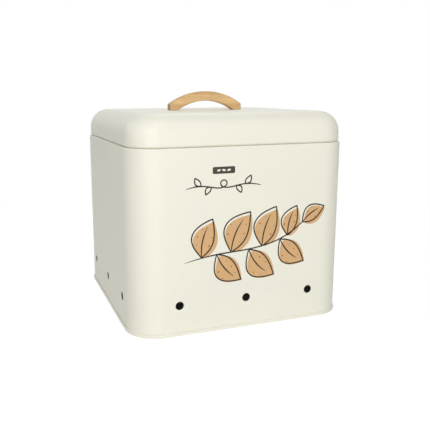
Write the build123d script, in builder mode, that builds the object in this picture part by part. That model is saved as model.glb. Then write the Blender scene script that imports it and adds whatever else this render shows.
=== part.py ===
from build123d import *
from math import atan2, degrees, sin, tan
import os

# Potato storage bin: a square steel tin with rounded corners, a lift-off lid and a wooden bar handle.
# Millimetres. +Z is up, the front faces -Y, and the origin is at the middle of the footprint, on the floor.

# ---------------------------------------------------------------- driving dimensions
# Plan and heights
width = 250.0                  # outside of the wall, left to right
depth = 250.0                  # outside of the wall, front to back
corner_radius = 34.0           # upright corners, outside of the wall
body_height = 196.0            # floor to the top of the rolled rim
lid_height = 33.0              # underside of the lid's turned-in edge to the lid's top

# Bends are drawn as equal flats between their tangent points, and hidden tight bends as plain corners
flats_per_tight_bend = 1       # flats in a small bend
flats_per_lid_curl = 3         # flats where the lid's skirt turns in
flats_per_lid_edge = 6         # flats in the lid's big roundover
plain_corner = (0, 0)          # no radius and no flats

# Sheet steel, with its coating
wall_sheet = 0.35
base_sheet = 0.35
lid_sheet = 0.4

# Rolled rim of the wall: a bead turned inwards, flat on top, where the lid sits
rim_bend = 1.2                 # outside radius of its two top bends
rim_width = 7.4                # from the wall's face to the inner face of the roll
rim_depth = 4.6                # height of the roll
rim_tuck = 3.8                 # how far the cut edge comes back towards the wall

# Double seam, which joins the base to the wall
seam_height = 3.6
seam_gap = 0.06                # between the folded layers
hook_clearance = 0.35          # between each hook's end and the fold that it lies in
seam_bend = 0.3                # outside radius of the seam's corners

# Base panel, recessed into the seam, with one raised step that stiffens it
base_recess = 4.2              # floor to the underside of the panel
step_margin = 15.0             # from the wall to the foot of the step
step_run = 2.0
step_rise = 1.0

# Upright folded seam that closes the wall, inside the back
side_seam_width = 5.0
side_seam_layers = 2           # sheets added behind the wall
side_seam_groove = 0.5         # width of the line that shows outside
side_seam_groove_depth = 0.12
side_seam_end_gap = 1.5        # clear of the base and of the rolled rim

# Air holes, three in each side
vent_diameter = 9.1
vent_height = 33.0             # floor to the hole's centre
vent_spacing = 75.5
vents_per_side = 3

# Lid
lid_inset = 1.5                # foot of the lid's skirt behind the face of the wall
lid_lean = 1.0                 # the skirt leans in by this much, from its foot to the lid's top
lid_edge_radius = 22.4         # the big roundover between skirt and top
lid_seat_gap = 0.25            # between the rim and the lid's edge, which shows as a dark line
lid_curl = 3.6                 # outside radius where the skirt's lower edge turns in

# Neck of the lid, the ring that drops inside the rim
neck_clearance = 1.0           # between the neck and the rim's roll
neck_depth = 13.0              # below the top of the rim
neck_hem = 2.2                 # bottom edge, turned in
weld_gap = 0.05                # between the neck and the lid's edge, both below its flange and beside it
flange_margin = 0.2            # from the flange's cut edge to the start of the lid's curl

# Handle, a bamboo bar cut as an arch
handle_length = 92.0
handle_depth = 10.0
handle_rise = 22.2
handle_end_height = 7.2
handle_foot = 10.6             # length of each flat foot
finger_rise = 11.1             # under the arch, at the middle
handle_edge_ease = 0.9         # narrow flats along its edges
handle_end_round = 2.0

# Screws and washers, from inside the lid up into the handle's feet
screw_inset = 5.2              # from the handle's end to the screw's axis
screw_diameter = 3.2
screw_bite = 7.0               # length inside the wood
pilot_clearance = 0.1          # round the screw, in the wood
pilot_spare = 0.6              # depth of the pilot hole beyond the screw's tip
lid_hole_clearance = 0.4       # round the screw, in the lid
screw_head_diameter = 6.4
screw_head_height = 2.2
screw_head_ease = 1.0
washer_diameter = 9.0
washer_thickness = 0.8
washer_clearance = 0.25

# ---------------------------------------------------------------- places that follow from them
# Sections are drawn as (outward from the wall's face, height), so a negative first value is inside the bin.
hook_face = 2 * seam_gap + base_sheet
seam_flare = 3 * seam_gap + 2 * base_sheet + wall_sheet
chuck_face = -(wall_sheet + seam_gap + base_sheet)
fold_floor = base_sheet + seam_gap + wall_sheet
wall_hook_top = seam_height - base_sheet - hook_clearance
base_hook_bottom = fold_floor + hook_clearance

neck_face = rim_width + neck_clearance
lid_underside = body_height + lid_seat_gap
lid_top = lid_underside + lid_height
lid_ceiling = lid_top - lid_sheet
curl_end = lid_inset + lid_curl
lid_edge_reach = neck_face - weld_gap
neck_flange = lid_underside + lid_sheet + weld_gap
neck_foot = body_height - neck_depth
lid_edge_bend = min(lid_edge_radius, corner_radius - lid_inset - lid_lean - lid_sheet)

side_seam_place = vent_spacing / 2
side_seam_bottom = base_recess + step_rise + base_sheet + side_seam_end_gap
side_seam_top = body_height - rim_depth - side_seam_end_gap

screw_place = handle_length / 2 - screw_inset
washer_seat = lid_ceiling - washer_thickness

right_side = Plane(origin=(width / 2, depth / 2 - corner_radius, 0), x_dir=(1, 0, 0), z_dir=(0, -1, 0))
back_side = Plane(origin=(0, depth / 2, 0), x_dir=(0, 1, 0), z_dir=(1, 0, 0))
corner_axis = Axis((width / 2 - corner_radius, depth / 2 - corner_radius, 0), (0, 0, 1))


def bent_line(corners, bends):
    """Points of a line whose corners are bent. Each bend is a radius and its number of flats."""
    points = [Vector(corners[0])]
    for before, corner, after, (radius, flats) in zip(corners, corners[1:], corners[2:], bends):
        coming = (Vector(corner) - Vector(before)).normalized()
        going = (Vector(after) - Vector(corner)).normalized()
        turn = atan2(coming.cross(going).Z, coming.dot(going))
        point = Vector(corner) - coming * radius * tan(abs(turn) / 2)
        points.append(point)
        for flat in range(flats):
            heading = coming.rotate(Axis.Z, degrees(turn * (flat + 0.5) / flats))
            point = point + heading * 2 * radius * sin(abs(turn) / 2 / flats)
            points.append(point)
    points.append(Vector(corners[-1]))
    return points


def bent_sheet(plane, corners, bends, thickness):
    """Section of a bent sheet, from the line of its outer face. The sheet lies left of that line."""
    outer = bent_line(corners, bends)
    headings = [(after - before).normalized() for before, after in zip(outer, outer[1:])]
    leftward = [Vector(-heading.Y, heading.X) for heading in headings]
    inner = [outer[0] + leftward[0] * thickness]
    for point, coming, going in zip(outer[1:-1], leftward, leftward[1:]):
        inner.append(point + (coming + going) * (thickness / (1 + coming.dot(going))))
    inner.append(outer[-1] + leftward[-1] * thickness)
    with BuildSketch(plane) as section:
        with BuildLine():
            Polyline(outer + inner[::-1], close=True)
        make_face()
    return section.sketch


def carry_round(corners, bends, thickness):
    """Carry a section round the bin: along half of two sides and round their corner, then mirrored."""
    extrude(bent_sheet(right_side, corners, bends, thickness), amount=depth / 2 - corner_radius)
    extrude(bent_sheet(back_side, corners, bends, thickness), amount=width / 2 - corner_radius)
    revolve(bent_sheet(right_side, corners, bends, thickness), axis=corner_axis, revolution_arc=90)
    mirror(about=Plane.XZ)
    mirror(about=Plane.YZ)


def middle_panel(underside, thickness):
    """Fill the flat rectangle that lies between the four corner axes."""
    with BuildSketch(Plane.XY.offset(underside)) as panel:
        Rectangle(width - 2 * corner_radius, depth - 2 * corner_radius)
    extrude(panel.sketch, amount=thickness)


# ---------------------------------------------------------------- body shell
# From the hook inside the double seam, up the wall, over the rolled rim to its cut edge.
wall_line = [
    (hook_face, wall_hook_top),
    (hook_face, fold_floor),
    (0, fold_floor),
    (0, body_height),
    (-rim_width, body_height),
    (-rim_width, body_height - rim_depth),
    (-rim_width + rim_tuck, body_height - rim_depth),
]
rim_roll = (rim_bend, flats_per_tight_bend)
wall_bends = [plain_corner, plain_corner, rim_roll, rim_roll, plain_corner]

with BuildPart() as body_shell:
    carry_round(wall_line, wall_bends, wall_sheet)
    # Upright seam: the folded layers inside the back, and the line that it leaves outside
    with BuildSketch(Plane.XY.offset(side_seam_bottom)):
        with Locations((side_seam_place, depth / 2 - wall_sheet)):
            Rectangle(side_seam_width, side_seam_layers * wall_sheet, align=(Align.CENTER, Align.MAX))
    extrude(amount=side_seam_top - side_seam_bottom)
    with BuildSketch(Plane.XY.offset(side_seam_bottom)):
        with Locations((side_seam_place, depth / 2)):
            Rectangle(side_seam_groove, side_seam_groove_depth, align=(Align.CENTER, Align.MAX))
    extrude(amount=side_seam_top - side_seam_bottom, mode=Mode.SUBTRACT)
    # Air holes, through the front and back and through both sides
    for side_plane, reach in ((Plane.XZ, depth), (Plane.YZ, width)):
        with BuildSketch(side_plane):
            with Locations((0, vent_height)):
                with GridLocations(vent_spacing, 1, vents_per_side, 1):
                    Circle(vent_diameter / 2)
        extrude(amount=reach, both=True, mode=Mode.SUBTRACT)
body_shell.part.label = "body_shell"

# ---------------------------------------------------------------- base plate
# From the middle of the panel, out over the step, down to the floor, and up round the wall's hook.
base_line = [
    (-corner_radius, base_recess + step_rise),
    (-step_margin - step_run, base_recess + step_rise),
    (-step_margin, base_recess),
    (chuck_face, base_recess),
    (chuck_face, 0),
    (seam_flare, 0),
    (seam_flare, seam_height),
    (seam_gap, seam_height),
    (seam_gap, base_hook_bottom),
]
seam_corner = (seam_bend, flats_per_tight_bend)
base_bends = 3 * [plain_corner] + 3 * [seam_corner] + [plain_corner]

with BuildPart() as base_plate:
    carry_round(base_line, base_bends, base_sheet)
    middle_panel(base_recess + step_rise, base_sheet)
base_plate.part.label = "base_plate"

# ---------------------------------------------------------------- lid shell
# From the edge turned in under the lid, round the curl, up the skirt and over the top.
lid_line = [
    (-lid_edge_reach, lid_underside),
    (-lid_inset, lid_underside),
    (-lid_inset - lid_lean, lid_top),
    (-corner_radius, lid_top),
]
lid_bends = [(lid_curl, flats_per_lid_curl), (lid_edge_bend, flats_per_lid_edge)]

with BuildPart() as lid_shell:
    carry_round(lid_line, lid_bends, lid_sheet)
    middle_panel(lid_ceiling, lid_sheet)
    with BuildSketch(Plane.XY.offset(lid_ceiling)):
        with GridLocations(2 * screw_place, 1, 2, 1):
            Circle(screw_diameter / 2 + lid_hole_clearance)
    extrude(amount=lid_sheet, mode=Mode.SUBTRACT)
lid_shell.part.label = "lid_shell"

# ---------------------------------------------------------------- lid neck
# From the bottom edge turned in, up the ring, and out into the flange welded on top of the lid's edge.
neck_line = [
    (-neck_face - neck_hem, neck_foot),
    (-neck_face, neck_foot),
    (-neck_face, neck_flange),
    (-curl_end - flange_margin, neck_flange),
]
neck_bends = [plain_corner, plain_corner]

with BuildPart() as lid_neck:
    carry_round(neck_line, neck_bends, lid_sheet)
lid_neck.part.label = "lid_neck"

# ---------------------------------------------------------------- handle
with BuildPart() as handle:
    with BuildSketch(Plane.XZ.offset(-handle_depth / 2)):
        with BuildLine():
            foot_end = handle_length / 2
            foot_start = foot_end - handle_foot
            Line((-foot_end, lid_top), (-foot_end, lid_top + handle_end_height))
            ThreePointArc(
                (-foot_end, lid_top + handle_end_height),
                (0, lid_top + handle_rise),
                (foot_end, lid_top + handle_end_height),
            )
            Line((foot_end, lid_top + handle_end_height), (foot_end, lid_top))
            Line((foot_end, lid_top), (foot_start, lid_top))
            ThreePointArc((foot_start, lid_top), (0, lid_top + finger_rise), (-foot_start, lid_top))
            Line((-foot_start, lid_top), (-foot_end, lid_top))
        make_face()
    extrude(amount=handle_depth)
    # The two top corners of the ends, then every edge except those of the flat feet
    fillet(handle.edges().filter_by(Axis.Y).group_by(Axis.Z)[-1], handle_end_round)
    eased = handle.edges().filter_by(lambda edge: edge.bounding_box().max.Z > lid_top + handle_edge_ease)
    chamfer(eased, handle_edge_ease)
    with BuildSketch(Plane.XY.offset(lid_top)):
        with GridLocations(2 * screw_place, 1, 2, 1):
            Circle(screw_diameter / 2 + pilot_clearance)
    extrude(amount=screw_bite + pilot_spare, mode=Mode.SUBTRACT)
handle.part.label = "handle"

# ---------------------------------------------------------------- washers
with BuildPart() as handle_washers:
    with BuildSketch(Plane.XY.offset(washer_seat)):
        with GridLocations(2 * screw_place, 1, 2, 1):
            Circle(washer_diameter / 2)
            Circle(screw_diameter / 2 + washer_clearance, mode=Mode.SUBTRACT)
    extrude(amount=washer_thickness)
handle_washers.part.label = "handle_washers"

# ---------------------------------------------------------------- screws
with BuildPart() as handle_screws:
    with BuildSketch(Plane.XY.offset(washer_seat)):
        with GridLocations(2 * screw_place, 1, 2, 1):
            Circle(screw_head_diameter / 2)
    extrude(amount=-screw_head_height)
    head_faces = handle_screws.faces().filter_by(Axis.Z).group_by(Axis.Z)[0]
    chamfer(head_faces.edges(), screw_head_ease)
    with BuildSketch(Plane.XY.offset(washer_seat)):
        with GridLocations(2 * screw_place, 1, 2, 1):
            Circle(screw_diameter / 2)
    extrude(amount=lid_top + screw_bite - washer_seat)
handle_screws.part.label = "handle_screws"

# ---------------------------------------------------------------- files
os.makedirs("parts", exist_ok=True)
export_step(body_shell.part, "parts/body_shell.step")
export_step(base_plate.part, "parts/base_plate.step")
export_step(lid_shell.part, "parts/lid_shell.step")
export_step(lid_neck.part, "parts/lid_neck.step")
export_step(handle.part, "parts/handle.step")
export_step(handle_washers.part, "parts/handle_washers.step")
export_step(handle_screws.part, "parts/handle_screws.step")
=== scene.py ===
# %% [markdown]
# # A steel storage bin with a lift-off lid, dressed for a studio photograph
# The measured model is already packed as a frame: it knows where each piece is and how the lid moves.
# This lesson builds the pieces that the eye meets, at the same places, and gives each its finish.
# Everything is in metres with +Z up. The front of the bin faces -Y.

# %% Load the frame
import math

import bpy
from mathutils import Matrix, Vector


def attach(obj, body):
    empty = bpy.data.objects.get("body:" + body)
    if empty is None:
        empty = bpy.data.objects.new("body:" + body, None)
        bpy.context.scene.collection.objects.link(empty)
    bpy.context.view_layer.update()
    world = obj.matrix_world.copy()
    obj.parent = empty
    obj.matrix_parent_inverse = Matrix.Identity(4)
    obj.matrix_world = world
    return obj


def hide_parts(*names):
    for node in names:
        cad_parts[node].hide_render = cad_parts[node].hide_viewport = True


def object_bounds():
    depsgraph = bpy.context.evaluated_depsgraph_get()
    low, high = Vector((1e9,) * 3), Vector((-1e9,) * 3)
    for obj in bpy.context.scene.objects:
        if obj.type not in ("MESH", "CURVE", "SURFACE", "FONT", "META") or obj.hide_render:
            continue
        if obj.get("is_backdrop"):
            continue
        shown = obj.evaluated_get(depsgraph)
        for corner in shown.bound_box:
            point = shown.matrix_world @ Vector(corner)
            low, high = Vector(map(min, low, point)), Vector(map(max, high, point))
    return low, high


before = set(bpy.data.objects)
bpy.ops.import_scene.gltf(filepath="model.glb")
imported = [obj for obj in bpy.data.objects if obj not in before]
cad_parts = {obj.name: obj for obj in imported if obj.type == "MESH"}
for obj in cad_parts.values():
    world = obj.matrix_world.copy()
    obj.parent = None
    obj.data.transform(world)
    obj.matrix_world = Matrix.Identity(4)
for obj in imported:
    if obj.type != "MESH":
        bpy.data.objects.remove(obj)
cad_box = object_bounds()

MM = 0.001
HAIR = 0.01 * MM  # places nearer to each other than this count as one
print("nodes:", sorted(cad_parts))

# %% [markdown]
# ## The camera
# The photograph was taken from a little to the left of the bin and from just above the height of its lid.
# The place, the turn and the lens come from a fit to the bin's own outline, its air holes and its handle.
# The picture is square and the bin stands off its middle, so the lens is shifted a little.

# %% Put the camera where the photograph was taken
turn_left = math.radians(19.31)
look_down = math.radians(10.94)
tilt = math.radians(-0.26)
camera_turn = (
    Matrix.Rotation(-turn_left, 4, "Z")
    @ Matrix.Rotation(math.pi / 2 - look_down, 4, "X")
    @ Matrix.Rotation(tilt, 4, "Z")
)
camera_place = (-0.25043, -0.64979, 0.24881)
bpy.ops.object.camera_add(location=camera_place, rotation=camera_turn.to_euler())
camera = bpy.context.object
camera.name = "camera"
camera.data.sensor_width = 36
camera.data.lens = 47.25
camera.data.shift_x = 0.0641
camera.data.shift_y = -0.0288
camera.data.clip_start = 0.01
bpy.context.scene.camera = camera
print("camera stands", round(camera.location.length, 3), "m from the origin")

# %% [markdown]
# ## The bin's measures
# Every piece of sheet steel here is the same idea: one bent line, carried round a square with round corners.
# The walls' outer faces stand 125 mm from the middle, and the upright corners have a radius of 34 mm.
# A section is written as points (outward from the wall's face, height), in millimetres.

# %% Sizes shared by the sheet pieces
half_side = 125.0 * MM
corner_radius = 34.0 * MM
corner_centre = half_side - corner_radius
rim_top = 196.0
lid_underside = 196.04
lid_top = 229.25
wall_sheet = 0.35
lid_sheet = 0.4
panel_edge = -32  # where the flat middle of the base and of the lid begins
print("the straight part of each side is", round(2 * corner_centre / MM, 1), "mm long")

# %% [markdown]
# ## Drawing a bent line
# A sheet's section is drawn the way it is bent. A single point is extruded along each straight run,
# and spun about the centre of each bend. A spin gives a true arc, with as many steps as the bend needs.
# Short runs before and after each bend keep the shading of the bend from creeping onto the flats.

# %% Helpers that draw a section point by point
def choose(*pieces):
    """Select only these pieces, because an operator acts on all that is selected. The first is active."""
    bpy.ops.object.select_all(action="DESELECT")
    for piece in pieces:
        piece.select_set(True)
    bpy.context.view_layer.objects.active = pieces[0]


def start_point(name, place):
    """A new piece that is a single point, left in edit mode."""
    bpy.ops.mesh.primitive_plane_add(size=MM)
    piece = bpy.context.object
    piece.name = name
    piece.data.name = name
    bpy.ops.object.mode_set(mode="EDIT")
    bpy.ops.mesh.select_mode(type="VERT")
    bpy.ops.mesh.select_all(action="SELECT")
    bpy.ops.mesh.merge(type="CENTER")
    bpy.ops.transform.translate(value=place)
    return piece


def extrude_by(move):
    """Extrude what is selected and move the new points."""
    bpy.ops.mesh.extrude_region_move(TRANSFORM_OT_translate={"value": tuple(move)})


def select_all_points():
    bpy.ops.mesh.select_all(action="SELECT")


def turn_faces_out():
    """Make every face of the closed or open shape look outwards."""
    select_all_points()
    bpy.ops.mesh.normals_make_consistent(inside=False)


def run_straight(move, margin=0.4 * MM):
    """Extrude along a straight run, with a short piece at each end where the run is long enough."""
    length = move.length
    if length < 1e-7:
        return
    if length > 4 * margin:
        step = move.normalized() * margin
        extrude_by(step)
        extrude_by(move - 2 * step)
        extrude_by(step)
    else:
        extrude_by(move)


def draw_section(name, corners, bends):
    """Draw a sheet's line at the back end of the right side. Bends are (radius, steps), in millimetres."""
    points = [Vector((half_side + out * MM, corner_centre, height * MM)) for out, height in corners]
    piece = start_point(name, points[0])
    reached = points[0]
    for before, corner, after, (radius, steps) in zip(points, points[1:], points[2:], bends):
        coming = (corner - before).normalized()
        going = (after - corner).normalized()
        turn = math.atan2(coming.x * going.z - coming.z * going.x, coming.dot(going))
        tangent = radius * MM * math.tan(abs(turn) / 2)
        bend_start = corner - coming * tangent
        run_straight(bend_start - reached)
        leftward = Vector((-coming.z, 0, coming.x))
        side = 1 if turn > 0 else -1
        centre = bend_start + leftward * side * radius * MM
        bpy.ops.mesh.spin(steps=steps, angle=abs(turn), center=centre, axis=(0, side, 0))
        reached = corner + going * tangent
    run_straight(points[-1] - reached)
    return piece


print("helpers ready: start_point, run_straight, draw_section")

# %% [markdown]
# ## Carrying the line round the bin
# The whole line is extruded along a side, then spun a quarter turn about the corner's upright axis.
# After four sides and four corners it meets itself, and the doubled points are merged.
# The surface then gets the sheet's thickness from a Solidify modifier, on its inner side.

# %% Helpers that turn a section into a sheet
corner_steps = 20
crease_angle = math.radians(32)


def carry_round():
    """Carry the line that has just been drawn round the four sides and corners until it closes."""
    select_all_points()
    for x, y in ((0, -1), (-1, 0), (0, 1), (1, 0)):
        along = Vector((x, y, 0)) * corner_centre
        outward = Vector((-y, x, 0)) * corner_centre
        run_straight(2 * along, margin=1.5 * MM)
        bpy.ops.mesh.spin(steps=corner_steps, angle=math.pi / 2, center=along + outward, axis=(0, 0, 1))
    select_all_points()
    bpy.ops.mesh.remove_doubles(threshold=0.003 * MM)
    turn_faces_out()


def faces_by_edge(mesh):
    """The faces that meet at each edge."""
    owners = {}
    for face in mesh.polygons:
        for key in face.edge_keys:
            owners.setdefault(key, []).append(face)
    return owners


def select_edges(test, at_opening=False):
    """In edit mode, select only the edges whose two ends pass a test and, if asked, that have one face."""
    bpy.ops.mesh.select_mode(type="EDGE")
    bpy.ops.mesh.select_all(action="DESELECT")
    bpy.ops.object.mode_set(mode="OBJECT")
    mesh = bpy.context.object.data
    owners = faces_by_edge(mesh)
    for edge in mesh.edges:
        a, b = (mesh.vertices[v].co for v in edge.vertices)
        edge.select = bool(test(a, b)) and (not at_opening or len(owners[edge.key]) == 1)
    bpy.ops.object.mode_set(mode="EDIT")


def close_middle(height):
    """Fill the flat panel inside the innermost loop, which lies at this height in millimetres."""
    level = height * MM
    select_edges(lambda a, b: max(abs(a.z - level), abs(b.z - level)) < HAIR, at_opening=True)
    bpy.ops.mesh.edge_face_add()
    turn_faces_out()


def face_out(place, direction):
    """Flip every face if the one nearest this place points the wrong way, and leave edit mode."""
    bpy.ops.object.mode_set(mode="OBJECT")
    mesh = bpy.context.object.data
    place = Vector(place) * MM
    nearest = min(mesh.polygons, key=lambda face: (face.center - place).length)
    if nearest.normal.dot(Vector(direction)) < 0:
        mesh.flip_normals()


def apply_modifiers(piece):
    """Make the work of a piece's modifiers part of its mesh."""
    choose(piece)
    for modifier in list(piece.modifiers):
        bpy.ops.object.modifier_apply(modifier=modifier.name)


def thicken(piece, thickness):
    """Give the surface its sheet thickness, behind its outer face."""
    solidify = piece.modifiers.new("sheet thickness", "SOLIDIFY")
    solidify.thickness = thickness * MM
    solidify.offset = -1
    solidify.use_even_offset = True
    solidify.use_quality_normals = True
    apply_modifiers(piece)


def cut_away(piece, cutter):
    """Cut one closed shape out of a piece, then delete the cutter."""
    cut = piece.modifiers.new("cut", "BOOLEAN")
    cut.operation = "DIFFERENCE"
    cut.solver = "EXACT"
    cut.object = cutter
    apply_modifiers(piece)
    bpy.data.objects.remove(cutter)


def smooth_shade(piece):
    """Smooth the curved faces and keep the flats flat, by weighting the normals by area."""
    choose(piece)
    bpy.ops.object.shade_smooth_by_angle(angle=crease_angle)
    piece.modifiers.new("area-weighted normals", "WEIGHTED_NORMAL").keep_sharp = True
    apply_modifiers(piece)


def join_all(pieces, name):
    """Join pieces into the first of them and name it."""
    choose(*pieces)
    bpy.ops.object.join()
    pieces[0].name = name
    pieces[0].data.name = name
    return pieces[0]


def tell_size(piece):
    """Print how many faces a piece has, and its size in millimetres."""
    size = [round(length / MM, 2) for length in piece.dimensions]
    print(piece.name + ":", len(piece.data.polygons), "faces, size", size)


print("corner steps:", corner_steps, "so each step turns", 90 / corner_steps, "degrees")

# %% [markdown]
# ## Where edges wear
# Coatings are thinnest, and handling shows first, on tight outward bends, so the materials have to find them.
# A per-point number called edge is worked out from how fast the surface turns there, and stored on the mesh.
# That was chosen over the Pointiness input because it doesn't depend on how finely a piece is divided.

# %% A helper that marks the tight outward bends
def mark_edges(piece, gentle=4.0, tight=1.0):
    """Store edge: 0 on flats and bends over the gentle radius, 1 on bends under the tight one (mm)."""
    mesh = piece.data
    bend_at = [0.0] * len(mesh.vertices)
    for (a, b), faces in faces_by_edge(mesh).items():
        if len(faces) != 2:
            continue
        one, other = faces
        between = other.center - one.center
        if between.length < 1e-9 or one.normal.dot(between) > 0:
            continue
        edge_vector = (mesh.vertices[b].co - mesh.vertices[a].co).normalized()
        across = (between - edge_vector * between.dot(edge_vector)).length
        bend = one.normal.angle(other.normal, 0.0) / max(across, 5 * HAIR)
        bend_at[a] = max(bend_at[a], bend)
        bend_at[b] = max(bend_at[b], bend)
    low, high = 1 / (gentle * MM), 1 / (tight * MM)
    attribute = mesh.attributes.new("edge", "FLOAT", "POINT")
    values = [min(1.0, max(0.0, (bend - low) / (high - low))) for bend in bend_at]
    attribute.data.foreach_set("value", values)
    return sum(value > 0.5 for value in values)


print("helper ready: mark_edges")

# %% [markdown]
# ## The wall
# On the real bin this is one strip of sheet steel, bent round and closed by an upright seam at the back.
# Its lower edge hooks into the base's double seam. Its top edge is rolled inwards as a safe, stiff rim.
# The line starts at the hook inside the seam, climbs the wall and ends under the roll.

# %% Draw the wall and its rolled rim
hook_out, hook_foot, hook_top = 0.47, 0.76, 2.9
roll_width, roll_foot, roll_end = 7.4, 191.4, -3.6
wall = draw_section(
    "body_wall",
    [
        (hook_out, hook_top),
        (hook_out, hook_foot),
        (0, hook_foot),
        (0, rim_top),
        (-roll_width, rim_top),
        (-roll_width, roll_foot),
        (roll_end, roll_foot),
    ],
    [(0.21, 3), (0.21, 3), (1.2, 7), (1.2, 7), (2.0, 7)],
)
carry_round()
face_out((125, 0, 100), (1, 0, 0))
thicken(wall, wall_sheet)
tell_size(wall)

# %% [markdown]
# ## The air holes and the seam line
# Three holes are punched in each side, near the base. Each cutter is a cylinder through one wall only.
# Inside the back wall, beside its middle, the upright seam is two more layers of sheet.
# From outside only a fine line shows, so a thin groove is cut in the back wall, deeper than its coat.

# %% Punch the air holes
vent_spacing = 75.5 * MM
vent_radius = 4.55 * MM
vent_height = 33.0 * MM
cutters = []
for side in range(4):
    quarter = side * math.pi / 2
    for step in (-1, 0, 1):
        place = Matrix.Rotation(quarter, 4, "Z") @ Vector((step * vent_spacing, -half_side, vent_height))
        bpy.ops.mesh.primitive_cylinder_add(
            vertices=48, radius=vent_radius, depth=6 * MM, location=place, rotation=(math.pi / 2, 0, quarter)
        )
        cutters.append(bpy.context.object)
cutter = join_all(cutters, "hole_cutters")
bpy.ops.object.transform_apply()
cut_away(wall, cutter)
print("holes punched: 12 of", round(2 * vent_radius / MM, 2), "mm")

# %% Cut the fine line of the upright seam
seam_place = 37.75 * MM
seam_middle = 98.5 * MM
seam_length = 182.8 * MM


def add_box(size, place, turn=0.0):
    """A box of this size, centred on a place and turned about its upright axis."""
    bpy.ops.mesh.primitive_cube_add(size=1, location=place, rotation=(0, 0, turn))
    box = bpy.context.object
    box.dimensions = size
    bpy.ops.object.transform_apply()
    return box


groove = add_box((0.5 * MM, 0.24 * MM, seam_length), (seam_place, half_side, seam_middle))
cut_away(wall, groove)
smooth_shade(wall)
print("points on tight edges of the wall:", mark_edges(wall))
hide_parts("body_shell")
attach(wall, "bin")

# %% [markdown]
# ## The folded layers of the upright seam
# Inside the back wall the seam is a flat band, 5 mm wide, hammered down so that its long edges are soft.
# It starts as a bar at its size and place, and its upright edges are bevelled.

# %% Model the folded band
band_width = 5 * MM
band_thickness = 2 * wall_sheet * MM
band_middle = half_side - wall_sheet * MM - band_thickness / 2
seam_band = add_box((band_width, band_thickness, seam_length), (seam_place, band_middle, seam_middle))
seam_band.name = "wall_seam_band"
bpy.ops.object.mode_set(mode="EDIT")
inner_face = band_middle - band_thickness / 2
select_edges(lambda a, b: max(a.y, b.y) < inner_face + HAIR)
bpy.ops.mesh.bevel(offset=0.3 * MM, segments=4, affect="EDGES")
bpy.ops.object.mode_set(mode="OBJECT")
smooth_shade(seam_band)
mark_edges(seam_band)
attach(seam_band, "bin")
tell_size(seam_band)

# %% [markdown]
# ## The base and its double seam
# The base is a pan. Its edge is rolled together with the wall's edge into a double seam, five sheets thick,
# which is the narrow raised line round the bottom of the bin. The bin stands on that seam.
# The panel is set up 4 mm from the floor and has one low step, which keeps a large flat sheet from drumming.

# %% Draw the base
panel_level, ledge_level = 5.2, 4.2
seam_inside, seam_outside, seam_top = -0.76, 1.23, 3.6
fold_out, fold_foot = 0.06, 1.11
base_pan = draw_section(
    "base_pan",
    [
        (panel_edge, panel_level),
        (-17, panel_level),
        (-15, ledge_level),
        (seam_inside, ledge_level),
        (seam_inside, 0),
        (seam_outside, 0),
        (seam_outside, seam_top),
        (fold_out, seam_top),
        (fold_out, fold_foot),
    ],
    [(1.6, 5), (1.6, 5), (1.0, 6), (0.6, 6), (0.6, 6), (0.56, 6), (0.56, 6)],
)
carry_round()
close_middle(panel_level)
face_out((125.3, 0, 0), (0, 0, -1))
thicken(base_pan, wall_sheet)
smooth_shade(base_pan)
print("points on tight edges of the base:", mark_edges(base_pan, gentle=2.5, tight=0.55))
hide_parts("base_plate")
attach(base_pan, "bin")
tell_size(base_pan)

# %% [markdown]
# ## The lid
# The lid is drawn from sheet over a round-cornered form, so its edge is one big, even roundover of 22 mm.
# The skirt leans in a little towards the top, as drawn sheet must to come off its form.
# Its lower edge is curled in on a radius of 3 mm and rests on the rim, with a hair's breadth between them.
# The narrow wedge under the curl is the fine line that shows below the lid.

# %% Draw the lid
curl_end, skirt_foot, skirt_head = -8.3, -1.5, -2.5
curl_radius, top_edge_radius = 3.0, 22.4
lid = draw_section(
    "lid_pressing",
    [(curl_end, lid_underside), (skirt_foot, lid_underside), (skirt_head, lid_top), (panel_edge, lid_top)],
    [(curl_radius, 9), (top_edge_radius, 26)],
)
carry_round()
close_middle(lid_top)
face_out((123.4, 0, 205), (1, 0, 0))
thicken(lid, lid_sheet)
smooth_shade(lid)
mark_edges(lid)
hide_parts("lid_shell")
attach(lid, "lid")
tell_size(lid)

# %% [markdown]
# ## The lid's neck
# A ring of sheet is spot welded inside the lid. It drops 13 mm inside the rim and keeps the lid in place.
# Its bottom edge is turned in, so that it slides past the roll and nobody touches a cut edge.

# %% Draw the neck
neck_out, neck_foot, turned_in = -8.4, 183, -10.6
flange_out, flange_level = -5.3, 196.7
neck = draw_section(
    "lid_neck_ring",
    [(turned_in, neck_foot), (neck_out, neck_foot), (neck_out, flange_level), (flange_out, flange_level)],
    [(1.6, 7), (0.5, 4)],
)
carry_round()
face_out((116.6, 0, 190), (1, 0, 0))
thicken(neck, lid_sheet)
smooth_shade(neck)
mark_edges(neck)
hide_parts("lid_neck")
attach(neck, "lid")
tell_size(neck)

# %% [markdown]
# ## The handle
# The handle is sawn from a bamboo board as a low arch, 92 mm long and 10 mm thick, with two flat feet.
# Its outline is two arcs of different radii, joined by short upright ends and by the feet.
# The outline is drawn once, filled, extruded through the board's thickness, and then every edge is eased.

# %% Draw the arch and give it its thickness
handle_half_length = 46.0 * MM
handle_thickness = 10 * MM
end_height = 7.2 * MM
crown_height = 22.2 * MM
foot_length = 10.6 * MM
finger_height = 11.1 * MM
foot_level = lid_top * MM


def arc_through(half_chord, rise):
    """Radius, and full angle, of the arc that stands this high over a chord."""
    radius = (half_chord**2 + rise**2) / (2 * rise)
    return radius, 2 * math.asin(half_chord / radius)


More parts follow.
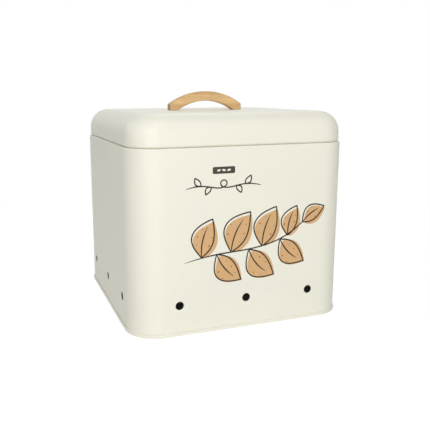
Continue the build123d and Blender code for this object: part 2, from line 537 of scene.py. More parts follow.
top_radius, top_angle = arc_through(handle_half_length, crown_height - end_height)
finger_radius, finger_angle = arc_through(handle_half_length - foot_length, finger_height)
front_face = -handle_thickness / 2
handle = start_point("handle_bar", (-handle_half_length, front_face, foot_level))
extrude_by((0, 0, end_height))
top_centre = (0, front_face, foot_level + crown_height - top_radius)
bpy.ops.mesh.spin(steps=44, angle=top_angle, center=top_centre, axis=(0, -1, 0))
extrude_by((0, 0, -end_height))
extrude_by((-foot_length, 0, 0))
finger_centre = (0, front_face, foot_level + finger_height - finger_radius)
bpy.ops.mesh.spin(steps=40, angle=finger_angle, center=finger_centre, axis=(0, 1, 0))
extrude_by((-foot_length, 0, 0))
select_all_points()
bpy.ops.mesh.remove_doubles(threshold=HAIR)
bpy.ops.mesh.edge_face_add()
extrude_by((0, handle_thickness, 0))
turn_faces_out()
print("top arc:", round(top_radius / MM, 1), "mm radius; finger arc:", round(finger_radius / MM, 1), "mm")

# %% Round the ends and ease the long edges
def is_end_corner(a, b):
    """The two edges across the bar, where its upright ends meet the top arc."""
    at_the_end = min(abs(a.x), abs(b.x)) > handle_half_length - HAIR
    return at_the_end and min(a.z, b.z) > foot_level + end_height - HAIR


def is_long_edge(a, b):
    """The edges along the front and back faces, apart from those under the feet."""
    same_face = abs(a.y - b.y) < HAIR and abs(a.y) > handle_thickness / 2 - HAIR
    return same_face and max(a.z, b.z) > foot_level + 5 * HAIR


def is_foot_edge(a, b):
    """The edges round the flat of each foot."""
    return max(a.z, b.z) < foot_level + 0.1 * HAIR


for test, radius, steps, limited in (
    (is_end_corner, 0.95, 6, True),
    (is_long_edge, 1.1, 5, False),
    (is_foot_edge, 0.4, 3, False),
):
    select_edges(test)
    bpy.ops.mesh.bevel(offset=radius * MM, segments=steps, affect="EDGES", clamp_overlap=limited)
bpy.ops.object.mode_set(mode="OBJECT")
smooth_shade(handle)
mark_edges(handle, gentle=3.0, tight=1.2)
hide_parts("handle")
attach(handle, "lid")
tell_size(handle)

# %% [markdown]
# ## Screws and washers
# Two pan-head screws hold the handle from inside the lid. They are seen only when the lid is lifted.
# One is modelled from a cylinder: its head's rim is rounded, a shank is pulled out and a cross recess is cut.
# The other is a copy with its own mesh. A washer starts as a disc that is inset, opened and made thick.

# %% Model one screw, then copy it
screw_x = 40.8 * MM
washer_thickness = 0.8 * MM
head_top = (lid_top - lid_sheet) * MM - washer_thickness
head_radius = 3.2 * MM
head_height = 2.2 * MM
shank_radius = 1.6 * MM
shank_length = 8.0 * MM


def copy_to_other_foot(piece, name):
    """Copy a piece to the handle's other foot, and join the two."""
    choose(piece)
    bpy.ops.object.duplicate(linked=False)
    bpy.ops.transform.translate(value=(-2 * screw_x, 0, 0))
    return join_all([piece, bpy.context.object], name)


bpy.ops.mesh.primitive_cylinder_add(
    vertices=40, radius=head_radius, depth=head_height, location=(screw_x, 0, head_top - head_height / 2)
)
screw = bpy.context.object
bpy.ops.object.transform_apply()
bpy.ops.object.mode_set(mode="EDIT")
select_edges(lambda a, b: max(a.z, b.z) < head_top - head_height + HAIR)
bpy.ops.mesh.bevel(offset=head_height / 2, segments=7, affect="EDGES", clamp_overlap=False)
select_edges(lambda a, b: min(a.z, b.z) > head_top - HAIR)
bpy.ops.mesh.select_mode(type="FACE")
bpy.ops.mesh.inset(thickness=head_radius - shank_radius)
extrude_by((0, 0, shank_length))
bpy.ops.object.mode_set(mode="OBJECT")
for turn in (0, math.pi / 2):  # two crossed bars, half sunk, cut the recess 1 mm deep
    bar = add_box((3.6 * MM, 0.9 * MM, 2.0 * MM), (screw_x, 0, head_top - head_height), turn)
    cut_away(screw, bar)
screw = copy_to_other_foot(screw, "handle_screw_pair")
smooth_shade(screw)
mark_edges(screw, gentle=2.0, tight=0.8)
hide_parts("handle_screws")
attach(screw, "lid")
tell_size(screw)

# %% Model one washer, then copy it
washer_radius = 4.5 * MM
washer_bore = 1.85 * MM
axis = Vector((screw_x, 0))
bpy.ops.mesh.primitive_circle_add(
    vertices=48, radius=washer_radius, fill_type="NGON", location=(screw_x, 0, head_top)
)
washer = bpy.context.object
bpy.ops.object.transform_apply()
bpy.ops.object.mode_set(mode="EDIT")
bpy.ops.mesh.select_mode(type="FACE")
select_all_points()
bpy.ops.mesh.inset(thickness=washer_radius - washer_bore)
bpy.ops.mesh.delete(type="FACE")
select_all_points()
extrude_by((0, 0, washer_thickness))
turn_faces_out()
select_edges(lambda a, b: a.z == b.z and abs((a.xy - axis).length - (b.xy - axis).length) < HAIR)
bpy.ops.mesh.bevel(offset=0.12 * MM, segments=2, affect="EDGES")
bpy.ops.object.mode_set(mode="OBJECT")
washer = copy_to_other_foot(washer, "handle_washer_pair")
smooth_shade(washer)
mark_edges(washer, gentle=2.0, tight=0.8)
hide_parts("handle_washers")
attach(washer, "lid")
tell_size(washer)

# %% [markdown]
# ## The printed front
# The front wall carries a screen print: flat tan shapes, with fine dark lines and brown speckles over them.
# It is a plain sprig of leaves, with a small dark tag and a curled rule above it.
# Screen ink stands on the coat as a thin film. Each film is a real sheet here, well under 0.1 mm thick.

# %% Helpers that lay flat ink on the front wall
def on_front(x, z):
    """A point of the print, in millimetres from the middle of the front wall's lower edge."""
    return Vector((x * MM, 0, z * MM))


def pen(points, start=1.0, end=1.0):
    """A stroke: a list of (point, pressure), with full pressure between its ends."""
    pressures = [start] + [1.0] * (len(points) - 2) + [end]
    return [(on_front(*point), pressure) for point, pressure in zip(points, pressures)]


def lay_film(piece, proud, thickness):
    """Flatten a shape drawn about y = 0 to a film, and set its outer face this far proud of the wall."""
    choose(piece)
    depth = max(v.co.y for v in piece.data.vertices) - min(v.co.y for v in piece.data.vertices)
    bpy.ops.transform.resize(value=(1, thickness * MM / depth, 1), center_override=(0, 0, 0))
    bpy.ops.transform.translate(value=(0, -half_side - (proud - thickness / 2) * MM, 0))
    bpy.ops.object.transform_apply()


def pull_into_plate():
    """In edit mode, give a flat shape a thickness of 1 mm about y = 0, and leave edit mode."""
    select_all_points()
    extrude_by((0, MM, 0))
    turn_faces_out()
    bpy.ops.transform.translate(value=(0, -0.5 * MM, 0))
    bpy.ops.object.mode_set(mode="OBJECT")


def ink_mesh(name, strokes, closed=False, width=0.0):
    """Make strokes one mesh, left in edit mode. Open strokes are pen lines, closed ones are outlines."""
    bpy.ops.curve.primitive_nurbs_path_add(radius=MM)
    piece = bpy.context.object
    piece.name = name
    curve = piece.data
    curve.splines.clear()
    curve.resolution_u = 6
    for stroke in strokes:
        spline = curve.splines.new("NURBS")
        spline.points.add(len(stroke) - 1)
        for knot, (place, pressure) in zip(spline.points, stroke):
            knot.co = (*place, 1)
            knot.radius = pressure
        spline.order_u = 4
        spline.use_cyclic_u = closed
        spline.use_endpoint_u = not closed
    if not closed:
        curve.bevel_depth = width / 2 * MM
        curve.bevel_resolution = 1
        curve.use_fill_caps = True
    bpy.ops.object.convert(target="MESH")
    bpy.ops.object.mode_set(mode="EDIT")
    bpy.ops.mesh.select_mode(type="VERT")
    select_all_points()
    bpy.ops.mesh.remove_doubles(threshold=0.1 * HAIR)
    return piece


def ink_shape(name, outline):
    """A closed outline, filled and given a thickness."""
    shape = ink_mesh(name, [outline], closed=True)
    bpy.ops.mesh.edge_face_add()
    pull_into_plate()
    return shape


def pen_lines(name, strokes, width):
    """Open strokes, as one mesh of round lines."""
    lines = ink_mesh(name, strokes, width=width)
    turn_faces_out()
    bpy.ops.object.mode_set(mode="OBJECT")
    return lines


print("helpers ready: on_front, pen, lay_film, ink_shape, pen_lines")

# %% [markdown]
# ## The sprig
# A leaf is drawn as a hand would: out along one side to the tip, and back along the other.
# Each is given by its base, direction, length and width. A bend to one side keeps it from looking stamped.
# The tan shape behind is the same leaf, fuller and shifted a little, as if the inks didn't quite register.

# %% Plan the stem and its leaves
stem = [(-70, 78), (-48, 83), (-24, 85), (2, 86), (28, 90), (50, 98), (66, 111)]


def stem_place(share):
    """Place and direction at a share of the way along the stem."""
    where = share * (len(stem) - 1)
    index = min(int(where), len(stem) - 2)
    start, end = Vector(stem[index]), Vector(stem[index + 1])
    along = end - start
    return start + along * (where - index), math.atan2(along.y, along.x)


# share of the stem, turn from it in degrees, length, width, bend
leaf_plan = [
    (0.14, 60, 42, 22.0, 5),
    (0.37, 60, 47, 24.5, 6),
    (0.60, 60, 45, 23.5, 5),
    (0.82, 52, 34, 17.0, 4),
    (0.26, -52, 41, 21.5, -5),
    (0.50, -54, 43, 23.0, -6),
    (0.75, -62, 40, 21.5, -5),
    (1.00, -8, 31, 15.0, 3),
]


def leaf_frame(base, angle):
    """A function that turns (forward, sideways) on a leaf into a place on the wall."""
    along = Vector((math.cos(angle), math.sin(angle)))
    across = Vector((-along.y, along.x))
    return lambda forward, sideways: Vector(base) + along * forward + across * sideways


def bow(bend, share):
    """How far a bent leaf has moved sideways at a share of its length."""
    return bend * 4 * share * (1 - share)


# share of the leaf's length, and share of its half width there
leaf_shape = [(0.03, 0.12), (0.18, 0.82), (0.42, 1.22), (0.68, 0.98), (0.88, 0.42)]


def leaf_outline(base, angle, length, width, bend):
    """Points round a leaf from its base, by one side to the tip, and back by the other."""
    place = leaf_frame(base, angle)
    half = width / 2
    left = [place(length * s, half * w + bow(bend, s)) for s, w in leaf_shape]
    right = [place(length * s, -half * w + bow(bend, s)) for s, w in reversed(leaf_shape)]
    tip = place(length, 0)
    return left + [tip, tip] + right


leaves = []
for share, turn, length, width, bend in leaf_plan:
    base, heading = stem_place(share)
    leaves.append((base, heading + math.radians(turn), length, width, bend))
print("leaves planned:", len(leaves))

# %% Print the tan shapes
tan_slip = Vector((2.1, -1.7))
tan_leaves = []
for base, angle, length, width, bend in leaves:
    fuller = leaf_outline(base + tan_slip, angle, length * 0.97, width * 1.12, bend * 0.8)
    tan_leaves.append(ink_shape("tan_leaf", pen(fuller)))
tan_shapes = join_all(tan_leaves, "print_tan_leaves")
lay_film(tan_shapes, proud=0.03, thickness=0.05)
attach(tan_shapes, "bin")
tell_size(tan_shapes)

# %% Print the dark lines
def leaf_line(leaf):
    """The outline, drawn from the base and ending just beside it."""
    base, angle, *_ = leaf
    outline = leaf_outline(*leaf)
    finish = leaf_frame(base, angle)(0.3, -0.8)
    return pen([base] + outline + [finish], start=0.8, end=0.7)


def vein_line(leaf):
    """The middle vein, which stops short of the tip."""
    base, angle, length, _, bend = leaf
    place = leaf_frame(base, angle)
    points = [place(length * share, 0.9 * bow(bend, share)) for share in (0.0, 0.2, 0.4, 0.6, 0.78)]
    return pen(points, start=0.7, end=0.25)


strokes = [pen(stem, start=0.3, end=0.9)]
strokes += [leaf_line(leaf) for leaf in leaves]
strokes += [vein_line(leaf) for leaf in leaves]
dark_lines = pen_lines("print_dark_lines", strokes, width=1.7)
lay_film(dark_lines, proud=0.07, thickness=0.08)
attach(dark_lines, "bin")
tell_size(dark_lines)

# %% Print the speckles
speckle_slip = Vector((1.2, -1.0))
# share of the leaf's length, share of its width to one side, radius
speckle_plan = [(0.34, 0.34, 1.0), (0.56, 0.40, 0.7)]
speckle_plan += [(0.5, -0.34, 0.85), (0.7, -0.22, 0.6), (0.3, -0.3, 0.55)]
facing_front = (math.pi / 2, 0, 0)
dots = []
for number, (base, angle, length, width, bend) in enumerate(leaves):
    place = leaf_frame(base + speckle_slip, angle)
    side = 1 if number % 2 else -1
    for share, across, radius in speckle_plan:
        middle = on_front(*place(length * share, side * across * width + bow(bend, share)))
        bpy.ops.mesh.primitive_circle_add(
            vertices=14, radius=radius * MM, fill_type="NGON", location=middle, rotation=facing_front
        )
        bpy.ops.object.transform_apply()
        bpy.ops.object.mode_set(mode="EDIT")
        pull_into_plate()
        dots.append(bpy.context.object)
speckles = join_all(dots, "print_speckles")
lay_film(speckles, proud=0.055, thickness=0.05)
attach(speckles, "bin")
print("speckles:", len(dots))

# %% [markdown]
# ## The tag and the curled rule
# Above the sprig are a small dark tag with rounded corners and a leafy rule with a curl in its middle.
# The tag starts as a plane whose corners are bevelled. Three small leaves in the coat's colour sit on it.

# %% Print the tag
tag_x, tag_z = -27.0, 172.3
bpy.ops.mesh.primitive_plane_add(size=1, location=on_front(tag_x, tag_z), rotation=facing_front)
tag = bpy.context.object
tag.name = "print_tag"
tag.scale = (24.7 * MM, 7.2 * MM, 1)
bpy.ops.object.transform_apply()
bpy.ops.object.mode_set(mode="EDIT")
select_all_points()
bpy.ops.mesh.bevel(offset=1.5 * MM, segments=8, affect="VERTICES")
pull_into_plate()
lay_film(tag, proud=0.03, thickness=0.05)
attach(tag, "bin")
tell_size(tag)

# %% Put three small leaves on the tag
tag_leaves = []
for offset, lean in ((-5.6, math.radians(12)), (0.0, math.radians(-12)), (5.6, math.radians(12))):
    base = (tag_x + offset - 2.3, tag_z - math.sin(lean) * 2.3)
    outline = leaf_outline(base, lean, length=4.8, width=2.0, bend=0.0)
    tag_leaves.append(ink_shape("tag_leaf", pen(outline)))
tag_marks = join_all(tag_leaves, "print_tag_leaves")
lay_film(tag_marks, proud=0.055, thickness=0.05)
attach(tag_marks, "bin")
print("tag leaves:", len(tag_leaves))

# %% Print the curled rule
rule = [(-68, 154.5), (-60, 156.8), (-50, 157.2), (-40, 155.2), (-32, 153.6)]
rule += [(-25, 155.2), (-22.5, 159.6), (-26.5, 163.2), (-31, 160.6), (-30.5, 156.0)]
rule += [(-24, 153.8), (-15, 155.2), (-5, 157.4), (6, 157.2), (15, 154.8)]
small_leaves = [
    ((-52, 157.1), math.radians(128), 10.5, 5.0, 1.0),
    ((-41, 155.4), math.radians(-128), 9.5, 4.6, -1.0),
    ((-13, 155.6), math.radians(-52), 9.5, 4.6, 1.0),
    ((-3, 157.3), math.radians(52), 10.5, 5.0, -1.0),
]
rule_strokes = [pen(rule, start=0.4, end=0.4)] + [leaf_line(leaf) for leaf in small_leaves]
rule_line = pen_lines("print_rule", rule_strokes, width=1.6)
lay_film(rule_line, proud=0.05, thickness=0.07)
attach(rule_line, "bin")
tell_size(rule_line)

# %% [markdown]
# ## Finishes, and the effects that they share
# Four effects appear on more than one finish, so each is built once, as a node group with named inputs.
# Uneven tone shifts a colour a little from place to place, because no coat, board or ink is one flat colour.
# Worn edges reads the edge number that was stored on the mesh, and breaks it up, so that wear looks patchy.
# Fine relief is a height for a Bump node: the skin of a powder coat or an ink, the grain of zinc.
# Uneven gloss is a roughness that wanders between two values.

# %% Helpers for nodes
def feed(tree, node, inputs):
    """Give each input a plain value, or another node's output (its first one, where a node is named)."""
    for key, value in inputs.items():
        if isinstance(value, bpy.types.Node):
            value = value.outputs[0]
        if isinstance(value, bpy.types.NodeSocket):
            tree.links.new(value, node.inputs[key])
        else:
            node.inputs[key].default_value = value


def add_node(tree, kind, inputs=None, **settings):
    """Add a node, set its properties and feed its inputs."""
    node = tree.nodes.new("ShaderNode" + kind)
    for key, value in settings.items():
        setattr(node, key, value)
    feed(tree, node, inputs or {})
    return node


def calculate(tree, operation, *numbers, **settings):
    """A Math node on one or two numbers or outputs."""
    return add_node(tree, "Math", dict(enumerate(numbers)), operation=operation, **settings)


def rescale(tree, value, low, high, new_low=0.0, new_high=1.0, **settings):
    """A Map Range node: low becomes the new low, high the new high, and nothing goes past them."""
    ends = {"Value": value, "From Min": low, "From Max": high, "To Min": new_low, "To Max": new_high}
    return add_node(tree, "MapRange", ends, **settings)


def blend_colours(tree, share, first, second):
    """A Mix node for colours, whose inputs 0, 6 and 7 are the share and the two colours."""
    return add_node(tree, "Mix", {0: share, 6: first, 7: second}, data_type="RGBA").outputs[2]


print("helpers ready: feed, add_node, calculate, rescale, blend_colours")

# %% Helpers that start and end a node group
NUMBER = "NodeSocketFloat"
COLOUR = "NodeSocketColor"


def new_group(name, inputs, output, output_kind):
    """A group with named inputs and one output. Returns the group, what it is given and its last node."""
    group = bpy.data.node_groups.new(name, "ShaderNodeTree")
    for label, kind, value in [("Place", "NodeSocketVector", None)] + inputs:
        socket = group.interface.new_socket(name=label, in_out="INPUT", socket_type=kind)
        if value is not None:
            socket.default_value = value
    group.interface.new_socket(name=output, in_out="OUTPUT", socket_type=output_kind)
    given = group.nodes.new("NodeGroupInput").outputs
    result = group.nodes.new("NodeGroupOutput")
    return group, given, result


def end_group(tree, result, value):
    """Feed the one output of a group, and return the group."""
    feed(tree, result, {0: value})
    print("group:", tree.name, len(tree.nodes), "nodes")
    return tree


print("helpers ready: new_group, end_group")

# %% Uneven tone
tree, given, result = new_group(
    "uneven tone",
    [("Colour", COLOUR, (0.8, 0.8, 0.8, 1)), ("Spread", NUMBER, 0.03), ("Patches", NUMBER, 18.0)],
    "Colour",
    COLOUR,
)
broad_look = {"Vector": given["Place"], "Scale": given["Patches"], "Detail": 3.0, "Roughness": 0.55}
broad = add_node(tree, "TexNoise", broad_look)
level = calculate(tree, "SUBTRACT", broad, 0.5)
spread = calculate(tree, "MULTIPLY", level, given["Spread"])
brightness = calculate(tree, "ADD", spread, 1.0)
shifted = add_node(tree, "HueSaturation", {"Value": brightness, "Color": given["Colour"]})
uneven_tone = end_group(tree, result, shifted)

# %% Worn edges
tree, given, result = new_group(
    "worn edges",
    [
        ("Colour", COLOUR, (0.8, 0.8, 0.8, 1)),
        ("Worn colour", COLOUR, (0.9, 0.9, 0.9, 1)),
        ("Amount", NUMBER, 0.5),
        ("Patches", NUMBER, 120.0),
    ],
    "Colour",
    COLOUR,
)
stored = add_node(tree, "Attribute", attribute_name="edge")
patch_look = {"Vector": given["Place"], "Scale": given["Patches"], "Detail": 4.0, "Roughness": 0.6}
patches = add_node(tree, "TexNoise", patch_look)
broken = rescale(tree, patches, 0.32, 0.62)
mask = calculate(tree, "MULTIPLY", stored.outputs["Fac"], broken)
amount = calculate(tree, "MULTIPLY", mask, given["Amount"], use_clamp=True)
with_wear = blend_colours(tree, amount, given["Colour"], given["Worn colour"])
worn_edges = end_group(tree, result, with_wear)

# %% Fine relief
tree, given, result = new_group(
    "fine relief",
    [("Coarse", NUMBER, 420.0), ("Fine", NUMBER, 1600.0), ("Fine share", NUMBER, 0.4)],
    "Height",
    NUMBER,
)
coarse, fine = (
    add_node(tree, "TexNoise", {"Vector": given["Place"], "Scale": given[size], "Detail": 2.0})
    for size in ("Coarse", "Fine")
)
both = add_node(tree, "Mix", {0: given["Fine share"], 2: coarse, 3: fine}, data_type="FLOAT")
fine_relief = end_group(tree, result, both)

# %% Uneven gloss
tree, given, result = new_group(
    "uneven gloss",
    [
        ("Patches", NUMBER, 100.0),
        ("Detail", NUMBER, 3.0),
        ("Smoothest", NUMBER, 0.4),
        ("Roughest", NUMBER, 0.6),
    ],
    "Roughness",
    NUMBER,
)
gloss_look = {"Vector": given["Place"], "Scale": given["Patches"], "Detail": given["Detail"]}
clouds = add_node(tree, "TexNoise", gloss_look)
wandering = rescale(tree, clouds, 0.0, 1.0, given["Smoothest"], given["Roughest"])
uneven_gloss = end_group(tree, result, wandering)

# %% [markdown]
# ## The cream powder coat
# Powder is sprayed on dry and baked. It flows into an even satin skin with a very fine, soft texture.
# On tight bends and cut edges it draws back and gets thinner, and the colour is a little paler and greyer.
# The texture is far finer than the pixels of the picture, and shows close up.

# %% Helpers for finishes
def new_finish(name):
    """A material with its shader and the Object coordinates that all its patterns read."""
    finish = bpy.data.materials.new(name)
    finish.use_nodes = True
    tree = finish.node_tree
    return finish, tree, tree.nodes["Principled BSDF"], add_node(tree, "TexCoord").outputs["Object"]


def add_group(tree, group, place, values):
    """Place a shared group in a material, with this material's own values."""
    return add_node(tree, "Group", {"Place": place, **values}, node_tree=group)


def add_relief(tree, place, coarse, fine, share, depth):
    """A fine relief of this depth in millimetres, through a Bump node."""
    relief = add_group(tree, fine_relief, place, {"Coarse": coarse, "Fine": fine, "Fine share": share})
    return add_node(tree, "Bump", {"Height": relief, "Distance": depth * MM})


def add_gloss(tree, place, patches, detail, smoothest, roughest):
    """The uneven gloss, with this material's own values."""
    values = {"Patches": patches, "Detail": detail, "Smoothest": smoothest, "Roughest": roughest}
    return add_group(tree, uneven_gloss, place, values)


def give_finish(finish, *pieces):
    """Make this the one material of each piece."""
    for piece in pieces:
        piece.data.materials.clear()
        piece.data.materials.append(finish)
    print(finish.name, "on", [piece.name for piece in pieces])


print("helpers ready: new_finish, add_group, add_relief, add_gloss, give_finish")

# %% Mix the powder coat
cream = (0.835, 0.815, 0.705, 1)
thin_cream = (0.80, 0.79, 0.73, 1)
powder_coat, tree, shader, place = new_finish("cream powder coat")
tone = add_group(tree, uneven_tone, place, {"Colour": cream, "Spread": 0.035, "Patches": 14.0})
wear = {"Colour": tone, "Worn colour": thin_cream, "Amount": 0.55, "Patches": 160.0}
coat_look = {
    "Base Color": add_group(tree, worn_edges, place, wear),
    "Roughness": add_gloss(tree, place, patches=60.0, detail=4.0, smoothest=0.42, roughest=0.54),
    "Normal": add_relief(tree, place, coarse=500.0, fine=1500.0, share=0.35, depth=0.02),
}
feed(tree, shader, coat_look)
give_finish(powder_coat, wall, seam_band, base_pan, lid, neck)

# %% [markdown]
# ## Bamboo
# A bamboo board is glued up from strips a few millimetres wide, so its tone changes from strip to strip.
# Fine darker fibres and broader pale grain run dead straight along it.
# The arch is sawn from the board, so the grain runs straight along the bar and comes out at the ends.
# Sawn end grain drinks in the lacquer and turns darker; painted shade darkens the foot line, and with wear
# the edges.

# %% Mix the bamboo's strips, grain and fibres
strips_per_metre = 190.0
dark_strip = (0.575, 0.345, 0.140, 1)
light_strip = (0.73, 0.485, 0.225, 1)
pale_grain = (0.80, 0.580, 0.30, 1)
dark_fibre = (0.40, 0.215, 0.085, 1)
bamboo, tree, shader, place = new_finish("bamboo")
strip_space = add_node(tree, "Mapping", {"Vector": place, "Scale": (0.0, 0.0, strips_per_metre)})
strip_floor = add_node(tree, "VectorMath", {0: strip_space}, operation="FLOOR")
strip_number = add_node(tree, "TexWhiteNoise", {"Vector": strip_floor})
strip_tone = add_node(tree, "ValToRGB", {"Fac": strip_number})
strip_tone.color_ramp.elements[0].color = dark_strip
strip_tone.color_ramp.elements[1].color = light_strip
grain_space = add_node(tree, "Mapping", {"Vector": place, "Scale": (0.06, 1.0, 1.0)})
grain = add_node(tree, "TexNoise", {"Vector": grain_space, "Scale": 260.0, "Detail": 4.0, "Roughness": 0.55})
grain_share = rescale(tree, grain, 0.35, 0.65, 0.0, 0.35)
with_grain = blend_colours(tree, grain_share, strip_tone, pale_grain)
fibre_space = add_node(tree, "Mapping", {"Vector": place, "Scale": (0.035, 1.0, 1.0)})
fibre_look = {"Vector": fibre_space, "Scale": 1500.0, "Detail": 3.0, "Roughness": 0.65}
fibres = add_node(tree, "TexNoise", fibre_look)
fibre_share = rescale(tree, fibres, 0.46, 0.70, 0.0, 0.42)
with_fibres = blend_colours(tree, fibre_share, with_grain, dark_fibre)
print("strips:", round(1000 / strips_per_metre, 1), "mm wide")

# %% Darken the sawn ends, paint shade at the feet and on the edges, and finish the bamboo
handled_wear_and_edge_shade = (0.40, 0.235, 0.10, 1)
end_grain_and_shade_brown = (0.33, 0.225, 0.13, 1)
tone = add_group(tree, uneven_tone, place, {"Colour": with_fibres, "Spread": 0.32, "Patches": 60.0})
# the darker worn edges are partly handling wear and partly painted shade on the eased edges
wear = {"Colour": tone, "Worn colour": handled_wear_and_edge_shade, "Amount": 0.75, "Patches": 220.0}
worn = add_group(tree, worn_edges, place, wear)
apart = add_node(tree, "SeparateXYZ", {0: place})
from_middle = calculate(tree, "ABSOLUTE", apart.outputs["X"])
sawn_end = rescale(tree, from_middle, handle_half_length - 1.1 * MM, handle_half_length - 0.4 * MM, 0.0, 0.85)
# painted shade: the lowest millimetre of each foot is darkened, as the shade where it sits on the lid
painted_foot_shade = rescale(tree, apart.outputs["Z"], foot_level + 1.1 * MM, foot_level + 0.2 * MM, 0.0, 0.7)
end_grain_and_foot_shade = calculate(tree, "MAXIMUM", sawn_end, painted_foot_shade)
bamboo_look = {
    "Base Color": blend_colours(tree, end_grain_and_foot_shade, worn, end_grain_and_shade_brown),
    "Roughness": rescale(tree, grain, 0.0, 1.0, 0.42, 0.60),
    "Normal": add_node(tree, "Bump", {"Height": fibres, "Strength": 0.6, "Distance": 0.03 * MM}),
}
feed(tree, shader, bamboo_look)
give_finish(bamboo, handle)

# %% [markdown]
# ## Zinc-plated steel
# The screws and washers are bright zinc over steel: a metal with a slightly uneven, bluish grey tone.
# Edges that touched other parts in the plating drum are a little brighter.

# %% Mix the zinc plating
zinc_grey = (0.60, 0.615, 0.635, 1)
rubbed_zinc = (0.78, 0.79, 0.80, 1)
zinc, tree, shader, place = new_finish("zinc plated steel")
tone = add_group(tree, uneven_tone, place, {"Colour": zinc_grey, "Spread": 0.22, "Patches": 420.0})
wear = {"Colour": tone, "Worn colour": rubbed_zinc, "Amount": 0.7, "Patches": 500.0}
zinc_look = {
    "Metallic": 1.0,
    "Base Color": add_group(tree, worn_edges, place, wear),
    "Roughness": add_gloss(tree, place, patches=900.0, detail=3.0, smoothest=0.24, roughest=0.42),
    "Normal": add_relief(tree, place, coarse=900.0, fine=3000.0, share=0.5, depth=0.006),
}
feed(tree, shader, zinc_look)
give_finish(zinc, screw, washer)

# %% [markdown]
# ## Printing inks
# Screen ink dries matt and takes on the skin of the coat under it. Where less ink went on, it is lighter.
# Each ink is the same small recipe with its own colour and unevenness, so one loop mixes all five.

# %% Mix the inks and put them on
# name, colour, spread of the tone, patches to a metre, films printed with it
ink_plan = [
    ("dark ink", (0.030, 0.019, 0.012, 1), 0.25, 90.0, (dark_lines, rule_line)),
    ("grey ink", (0.062, 0.055, 0.044, 1), 0.20, 90.0, (tag,)),
    ("tan ink", (0.66, 0.41, 0.20, 1), 0.12, 45.0, (tan_shapes,)),
    ("brown ink", (0.34, 0.155, 0.065, 1), 0.20, 120.0, (speckles,)),
    ("pale ink", (0.80, 0.78, 0.69, 1), 0.05, 90.0, (tag_marks,)),
]
for name, colour, spread, patches, films in ink_plan:
    ink, tree, shader, place = new_finish(name)
    tone = {"Colour": colour, "Spread": spread, "Patches": patches}
    ink_look = {
        "Specular IOR Level": 0.2,
        "Base Color": add_group(tree, uneven_tone, place, tone),
        "Roughness": add_gloss(tree, place, patches=140.0, detail=3.0, smoothest=0.48, roughest=0.62),
        "Normal": add_relief(tree, place, coarse=500.0, fine=1500.0, share=0.5, depth=0.012),
    }
    feed(tree, shader, ink_look)
    give_finish(ink, *films)
    for film in films:
        smooth_shade(film)

# %% [markdown]
# ## The studio
# The floor is plain and pale. Seen by the camera it is white, but it keeps the bin's shadow near its foot.
# Further out the floor fades into the white of the background, so no horizon shows.
# Six soft lamps light the bin. The key stands in front on the left, and a low one in front lights the joint.
# Two hang above, high in front and overhead, and two stand behind. The room itself adds very little, so
# joints and holes stay dark.

# %% Lay the floor
floor_radius = 6


def choose_by_ray(tree, hidden, shown):
    """One shader for the camera, for mirrors and for glass, and another for the light in the room."""
    rays = add_node(tree, "LightPath").outputs
    camera_or_glossy = calculate(tree, "MAXIMUM", rays["Is Camera Ray"], rays["Is Glossy Ray"])
    any_seen = calculate(tree, "MAXIMUM", camera_or_glossy, rays["Is Transmission Ray"])
    return add_node(tree, "MixShader", {0: any_seen, 1: hidden, 2: shown})


bpy.ops.mesh.primitive_circle_add(vertices=96, radius=floor_radius, fill_type="NGON", location=(0, 0, 0))
floor = bpy.context.object
floor.name = "studio_floor"
floor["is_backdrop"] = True
floor_finish = bpy.data.materials.new("studio floor")
floor_finish.use_nodes = True
tree = floor_finish.node_tree
tree.nodes.clear()
pale = add_node(tree, "BsdfDiffuse", {"Color": (0.80, 0.80, 0.79, 1)})
shadow_keeper = add_node(tree, "BsdfDiffuse", {"Color": (0.42, 0.42, 0.42, 1)})
glow = add_node(tree, "Emission", {"Strength": 0.76})
seen_floor = add_node(tree, "AddShader", {0: shadow_keeper, 1: glow})
floor_place = add_node(tree, "TexCoord").outputs["Object"]
distance = add_node(tree, "VectorMath", {0: floor_place}, operation="LENGTH").outputs["Value"]
fade_share = rescale(tree, distance, 0.25, 0.75, interpolation_type="SMOOTHSTEP")
white = add_node(tree, "Emission", {"Strength": 1.0})
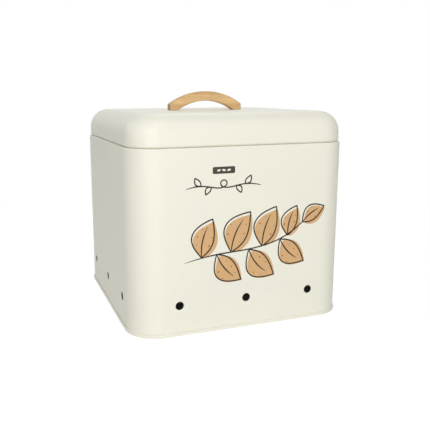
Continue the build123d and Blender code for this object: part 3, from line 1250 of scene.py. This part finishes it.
fade = add_node(tree, "MixShader", {0: fade_share, 1: seen_floor, 2: white})
add_node(tree, "OutputMaterial", {"Surface": choose_by_ray(tree, pale, fade)})
give_finish(floor_finish, floor)
print("floor radius:", floor_radius, "m")

# %% Set the background and the lamps
world = bpy.data.worlds.new("studio")
bpy.context.scene.world = world
world.use_nodes = True
tree = world.node_tree
tree.nodes.clear()
room = add_node(tree, "Background", {"Color": (1, 1, 1, 1), "Strength": 0.10})
backdrop = add_node(tree, "Background", {"Color": (1, 1, 1, 1), "Strength": 1.0})
add_node(tree, "OutputWorld", {"Surface": choose_by_ray(tree, room, backdrop)})
lamp_aim = Vector((0, 0, 0.12))


def hang_lamp(name, place, width, height, power):
    """A soft rectangular lamp at a place, turned towards the middle of the bin."""
    turn = (lamp_aim - Vector(place)).to_track_quat("-Z", "Y").to_euler()
    bpy.ops.object.light_add(type="AREA", location=place, rotation=turn)
    lamp = bpy.context.object
    lamp.name = name
    lamp.data.shape = "RECTANGLE"
    lamp.data.size = width
    lamp.data.size_y = height
    lamp.data.energy = power


hang_lamp("key_lamp", (-1.1, -2.05, 0.8), 1.0, 1.2, 26)
hang_lamp("front_lamp", (0.1, -2.4, 0.15), 1.2, 0.3, 9)
hang_lamp("high_front_lamp", (-0.1, -1.2, 2.2), 1.4, 1.0, 15)
hang_lamp("top_lamp", (-0.1, 0.2, 2.3), 1.6, 1.8, 5)
hang_lamp("back_top_lamp", (0.8, 1.8, 1.8), 1.4, 1.0, 10)
hang_lamp("back_lamp", (-1.4, 1.7, 1.4), 1.0, 1.0, 6)

# %% [markdown]
# ## The last step
# The picture keeps plain colours, with no film look added. The box of the finished pieces is written beside
# the measured box, to show that nothing has grown.

# %% Keep plain colours and print both boxes
bpy.context.scene.view_settings.view_transform = "Standard"
dressed_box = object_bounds()
sizes = {
    "measured": [list(corner) for corner in cad_box],
    "dressed": [list(corner) for corner in dressed_box],
}
for label, box in sizes.items():
    print(label + ":", [round(value / MM, 2) for corner in box for value in corner])
